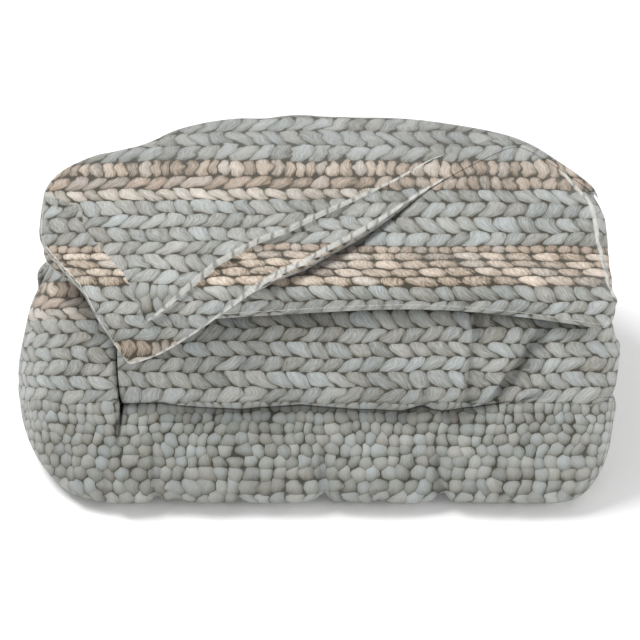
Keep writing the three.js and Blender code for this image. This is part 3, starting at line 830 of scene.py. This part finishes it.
printedCotton = bpy.data.materials.new("printedCotton")
printedCotton.use_nodes = True
tree = printedCotton.node_tree


# Short ways to add nodes to the material: a value is a number, or the socket of another node
def put(socket, value):
    if isinstance(value, bpy.types.NodeSocket):
        tree.links.new(value, socket)
    elif value is not None:
        socket.default_value = value


def node(kind, **inputs):
    made = tree.nodes.new(kind)
    for name, value in inputs.items():
        put(made.inputs[name], value)
    return made


def calc(operation, first, second=None, third=None):
    made = tree.nodes.new("ShaderNodeMath")
    made.operation = operation
    for socket, value in zip(made.inputs, (first, second, third)):
        put(socket, value)
    return made.outputs[0]


plus, minus, times, ratio = (partial(calc, name) for name in ("ADD", "SUBTRACT", "MULTIPLY", "DIVIDE"))
timesPlus, exceeds = partial(calc, "MULTIPLY_ADD"), partial(calc, "GREATER_THAN")
rest = partial(calc, "FLOORED_MODULO")


# The absolute value of twice a number, raised to a power
def roundedOff(value, power):
    return calc("POWER", calc("ABSOLUTE", times(value, 2.0)), power)


def pick(factor, first, second):
    return timesPlus(factor, minus(second, first), first)


def blend(factor, first, second, how="MIX"):
    made = tree.nodes.new("ShaderNodeMix")
    made.data_type = "RGBA"
    made.blend_type = how
    put(made.inputs["Factor"], factor)
    put(made.inputs[6], first)
    put(made.inputs[7], second)
    return made.outputs[2]


def remap(value, low, high, toLow=0.0, toHigh=1.0):
    ends = {"From Min": low, "From Max": high, "To Min": toLow, "To Max": toHigh}
    made = node("ShaderNodeMapRange", Value=value, **ends)
    made.interpolation_type = "SMOOTHSTEP"
    return made.outputs["Result"]


def vector(x, y, z=0.0):
    return node("ShaderNodeCombineXYZ", X=x, Y=y, Z=z).outputs[0]


def split(colour):
    return node("ShaderNodeSeparateColor", Color=colour).outputs


# A random value and colour for each pair of whole numbers
def scatter(x, y):
    made = node("ShaderNodeTexWhiteNoise", Vector=vector(x, y))
    made.noise_dimensions = "2D"
    return made.outputs["Value"], split(made.outputs["Color"])


def noise(place, scale, detail=2.0, rough=0.5):
    return node("ShaderNodeTexNoise", Vector=place, Scale=scale, Detail=detail, Roughness=rough).outputs


def printMap(name):
    made = tree.nodes.new("ShaderNodeUVMap")
    made.uv_map = name
    return node("ShaderNodeSeparateXYZ", Vector=made.outputs[0]).outputs


def attribute(name):
    made = tree.nodes.new("ShaderNodeAttribute")
    made.attribute_name = name
    return made.outputs["Fac"]


def colourOf(name):
    return (*cloth["colours"][name], 1)


# One flat step per row of a list
def rowRamp(factor, entries):
    made = tree.nodes.new("ShaderNodeValToRGB")
    made.color_ramp.interpolation = "CONSTANT"
    stops = made.color_ramp.elements
    for number, entry in enumerate(entries):
        stop = stops[number] if number < 2 else stops.new(number / len(entries))
        stop.position = number / len(entries)
        stop.color = entry
    put(made.inputs[0], factor)
    return made.outputs


# Where a point lies in the print: metres across and rows down, both wandering a little
def printPlace(placed):
    stray = cloth["stray"]
    upper, lower = printMap("printRows"), printMap("lowerPlyRows")
    onUpper = exceeds(attribute("upperPly"), 0.5)
    chance = split(noise(placed, stray["scale"])["Color"])
    u = timesPlus(minus(chance[0], 0.5), stray["across"], upper[0])
    v = timesPlus(minus(chance[1], 0.5), stray["rows"], pick(onUpper, lower[1], upper[1]))
    return u, v


# Looks a row up in the list that its number belongs to
def rowLook(row):
    scale = cloth["rampScale"]
    inSecond = exceeds(row, cloth["secondFrom"])
    numbers = rest(row, len(cloth["firstRows"])), minus(row, cloth["secondStart"])
    shapes, colours = [], []
    for names, number in zip((cloth["firstRows"], cloth["secondRows"]), numbers):
        shape, shade = [], []
        for lean, pitch, ends, narrow, colour, contrast in (cloth["kinds"][name] for name in names):
            shape.append((lean / scale["lean"] + 0.5, pitch / scale["pitch"], ends / scale["ends"], narrow))
            shade.append((*cloth["colours"][colour], contrast / scale["contrast"]))
        place = ratio(plus(number, 0.5), len(names))
        shapes.append(rowRamp(place, shape))
        colours.append(rowRamp(place, shade))
    lean, pitch, ends = split(blend(inSecond, shapes[0]["Color"], shapes[1]["Color"]))
    contrast = pick(inSecond, colours[0]["Alpha"], colours[1]["Alpha"])
    return {
        "lean": times(minus(lean, 0.5), scale["lean"]),
        "pitch": times(pitch, scale["pitch"] / 1000),
        "ends": times(ends, scale["ends"]),
        "narrow": pick(inSecond, shapes[0]["Alpha"], shapes[1]["Alpha"]),
        "colour": blend(inSecond, colours[0]["Color"], colours[1]["Color"]),
        "contrast": times(contrast, scale["contrast"]),
    }


# A plump stitch, a little bowed: 1 on its crown and 0 at its rim, its number, and the place in it
def stitchAt(u, row, down, look):
    stitch = cloth["stitch"]
    brick = times(rest(row, 2.0), 0.5)
    shift = timesPlus(scatter(row, cloth["seeds"]["row"])[0], stitch["shift"], brick)
    middle = minus(down, 0.5)
    bow = timesPlus(times(middle, middle), stitch["bow"], middle)
    along = timesPlus(look["lean"], bow, plus(ratio(u, look["pitch"]), shift))
    number = calc("FLOOR", along)
    aside = minus(minus(along, number), 0.5)
    wide, tall = roundedOff(aside, stitch["sides"]), roundedOff(middle, look["ends"])
    inside = minus(1.0, timesPlus(tall, look["narrow"], wide))
    return {"inside": inside, "number": number, "aside": aside, "down": middle, "row": row}


# A round pebble of one row, in the terms of a stitch
def pebbleIn(u, v, row):
    pebbles, seeds = cloth["pebbles"], cloth["seeds"]
    inList = minus(rest(row, len(cloth["firstRows"])), pebbles["from"])
    width = timesPlus(inList, pebbles["growth"], pebbles["width"])
    along = timesPlus(scatter(row, seeds["pebbleRow"])[0], pebbles["shift"], ratio(u, width))
    number = calc("FLOOR", along)
    chance = scatter(number, plus(row, seeds["pebble"]))[1]
    aside = timesPlus(minus(chance[0], 0.5), pebbles["wander"], minus(minus(along, number), 0.5))
    down = timesPlus(minus(chance[1], 0.5), pebbles["wander"], minus(minus(v, row), 0.5))
    far = timesPlus(times(aside, aside), pebbles["narrow"], times(times(down, down), pebbles["flat"]))
    size = timesPlus(chance[2], pebbles["spread"], pebbles["size"])
    inside = minus(1.0, ratio(far, size))
    return {"inside": inside, "number": number, "aside": aside, "down": down, "row": row}


# The pebble on top: that of the row itself, or one that reaches over from the nearest row
def pebbleAt(u, v, row, down):
    side = minus(times(exceeds(down, 0.5), 2.0), 1.0)
    here, there = pebbleIn(u, v, row), pebbleIn(u, v, plus(row, side))
    over = exceeds(there["inside"], here["inside"])
    return {key: pick(over, here[key], there[key]) for key in here}


# Fibres run along each stitch
def fibresOf(mark, tone, v):
    fibres = cloth["fibres"]
    acrossFibre = timesPlus(mark["aside"], fibres["across"], times(tone[2], fibres["apart"]))
    place = vector(acrossFibre, times(v, fibres["along"]), tone[0])
    return noise(place, fibres["scale"], fibres["detail"], fibres["rough"])["Fac"]


# The colour of stitches, pebbles and the dark between them
def printColour(placed, mark, look, isPebble, tone, fibre):
    shading, tints = cloth["shading"], cloth["tints"]
    crown = calc("SQRT", calc("MAXIMUM", mark["inside"], 0.0))
    light = timesPlus(crown, pick(isPebble, *shading["crown"]), pick(isPebble, *shading["base"]))
    for name, value in (("down", mark["down"]), ("aside", mark["aside"]), ("fibre", minus(fibre, 0.5))):
        light = timesPlus(value, pick(isPebble, *shading[name]), light)
    light = timesPlus(minus(tone[0], 0.5), shading["tone"], light)
    patches = noise(placed, shading["patchScale"])["Fac"]
    light = timesPlus(minus(patches, 0.5), shading["patches"], light)
    light = calc("MAXIMUM", timesPlus(minus(light, 1.0), look["contrast"], 1.0), shading["darkest"])
    tinted = look["colour"]
    for name in ("warmShade", "coolShade"):
        low, high, share = tints[name]
        tint = blend(tints["share"], look["colour"], colourOf(name))
        tinted = blend(times(remap(tone[1], low, high), share), tinted, tint)
    red, blue = calc("POWER", light, shading["redPower"]), calc("POWER", light, shading["bluePower"])
    lit = blend(1.0, tinted, vector(red, light, blue), "MULTIPLY")
    gap = blend(isPebble, colourOf("gap"), colourOf("pebbleGap"))
    body = remap(timesPlus(isPebble, cloth["pebbles"]["rim"], mark["inside"]), *cloth["stitch"]["rim"])
    return blend(body, gap, lit)


# The thin pale line on sewn edges and the upper fold's lip: partly hem, partly painted highlight
def withHemHighlights(u, fibre, printed):
    line = cloth["hemHighlightLine"]
    hem = remap(attribute("hemHighlightGap"), *line["gap"], line["strength"], 0.0)
    dash = rest(ratio(u, line["dash"]), 1.0)
    thread = remap(calc("ABSOLUTE", minus(dash, 0.5)), *line["dashEnd"], 1.0, line["dashShade"])
    thread = times(thread, remap(fibre, *line["fibre"], *line["fibreShade"]))
    return blend(hem, printed, blend(1.0, colourOf("hem"), vector(thread, thread, thread), "MULTIPLY"))


# Fine weave and small rumples
def clothBump(placed):
    weaving, rumpled, bump = cloth["weave"], cloth["rumple"], cloth["bump"]
    weave = node("ShaderNodeTexWave", Vector=placed, Scale=weaving["scale"], Distortion=weaving["distortion"])
    weave.bands_direction = "DIAGONAL"
    rumple = noise(placed, rumpled["scale"], rumpled["detail"], rumpled["rough"])["Fac"]
    height = timesPlus(weave.outputs["Fac"], weaving["height"], rumple)
    return node("ShaderNodeBump", Height=height, **bump).outputs[0]


def dressCotton():
    placed = node("ShaderNodeTexCoord").outputs["Object"]
    u, v = printPlace(placed)
    row = calc("FLOOR", v)
    down = minus(v, row)  # 0 at the row's upper edge, 1 at its lower
    look = rowLook(row)
    pebbled = exceeds(rest(row, len(cloth["firstRows"])), cloth["pebbles"]["from"] - 0.5)
    isPebble = times(pebbled, calc("LESS_THAN", row, cloth["secondFrom"]))
    stitch, pebble = stitchAt(u, row, down, look), pebbleAt(u, v, row, down)
    mark = {key: pick(isPebble, stitch[key], pebble[key]) for key in stitch}
    tone = scatter(mark["number"], mark["row"])[1]
    fibre = fibresOf(mark, tone, v)
    printed = printColour(placed, mark, look, isPebble, tone, fibre)
    shader = tree.nodes["Principled BSDF"]
    put(shader.inputs["Base Color"], withHemHighlights(u, fibre, printed))
    put(shader.inputs["Normal"], clothBump(placed))
    put(shader.inputs["Roughness"], remap(fibre, *cloth["roughFibre"], *cloth["roughness"]))
    for name, value in cloth["finish"].items():
        shader.inputs[name].default_value = value


dressCotton()
duvetPiece.data.materials.append(printedCotton)
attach(duvetPiece, "root")
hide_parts("duvet")
print("print and cloth material ready")

# Floor, lights and camera
studio = {
    "floorSize": 16.0, "floorDrop": 0.0005,
    "floorLook": {"Base Color": (0.93, 0.93, 0.93, 1), "Roughness": 0.95, "Specular IOR Level": 0.1,
                  "Emission Color": (1, 1, 1, 1), "Emission Strength": 0.08},
    "world": {"Color": (1, 1, 1, 1), "Strength": 0.5},
    # place, size, power
    "lights": {"keyLight": ((-1.1, -0.5, 2.42), 1.0, 64.0), "fillLight": ((2.5, -1.5, 1.0), 1.4, 47.0)},
    "lightTarget": (0, 0, 0.1),
    "cameraLens": 140.0, "cameraSensor": 36.0, "cameraRise": 32.0, "cameraDistance": 2.6,
    "cameraTarget": (0.006, -0.0005, 0.12),
}


def makeFloor():
    bpy.ops.object.select_all(action="DESELECT")
    bpy.ops.mesh.primitive_plane_add(size=studio["floorSize"], location=(0, 0, -studio["floorDrop"]))
    floor = bpy.context.object
    floor.name = "studioFloor"
    bpy.ops.object.transform_apply(location=True)
    material = bpy.data.materials.new("paleFloor")
    material.use_nodes = True
    shader = material.node_tree.nodes["Principled BSDF"]
    for name, value in studio["floorLook"].items():
        shader.inputs[name].default_value = value
    floor.data.materials.append(material)


def makeLight(name, place, size, power):
    bpy.ops.object.light_add(type="AREA", location=place)
    lamp = bpy.context.object
    lamp.name = name
    lamp.data.size = size
    lamp.data.energy = power
    aim = Vector(studio["lightTarget"]) - Vector(place)
    lamp.rotation_euler = aim.to_track_quat("-Z", "Y").to_euler()


def makeCamera():
    rise = radians(studio["cameraRise"])
    target = Vector(studio["cameraTarget"])
    place = target + studio["cameraDistance"] * Vector((0, -cos(rise), sin(rise)))
    bpy.ops.object.camera_add(location=place)
    camera = bpy.context.object
    camera.name = "photoCamera"
    camera.rotation_euler = (target - place).to_track_quat("-Z", "Y").to_euler()
    camera.data.lens = studio["cameraLens"]
    camera.data.sensor_width = studio["cameraSensor"]
    bpy.context.scene.camera = camera


makeFloor()
for name, values in studio["lights"].items():
    makeLight(name, *values)
makeCamera()
world = bpy.data.worlds.new("studioWorld")
world.use_nodes = True
for name, value in studio["world"].items():
    world.node_tree.nodes["Background"].inputs[name].default_value = value
bpy.context.scene.world = world
bpy.context.scene.view_settings.view_transform = "Standard"
print("studio ready")
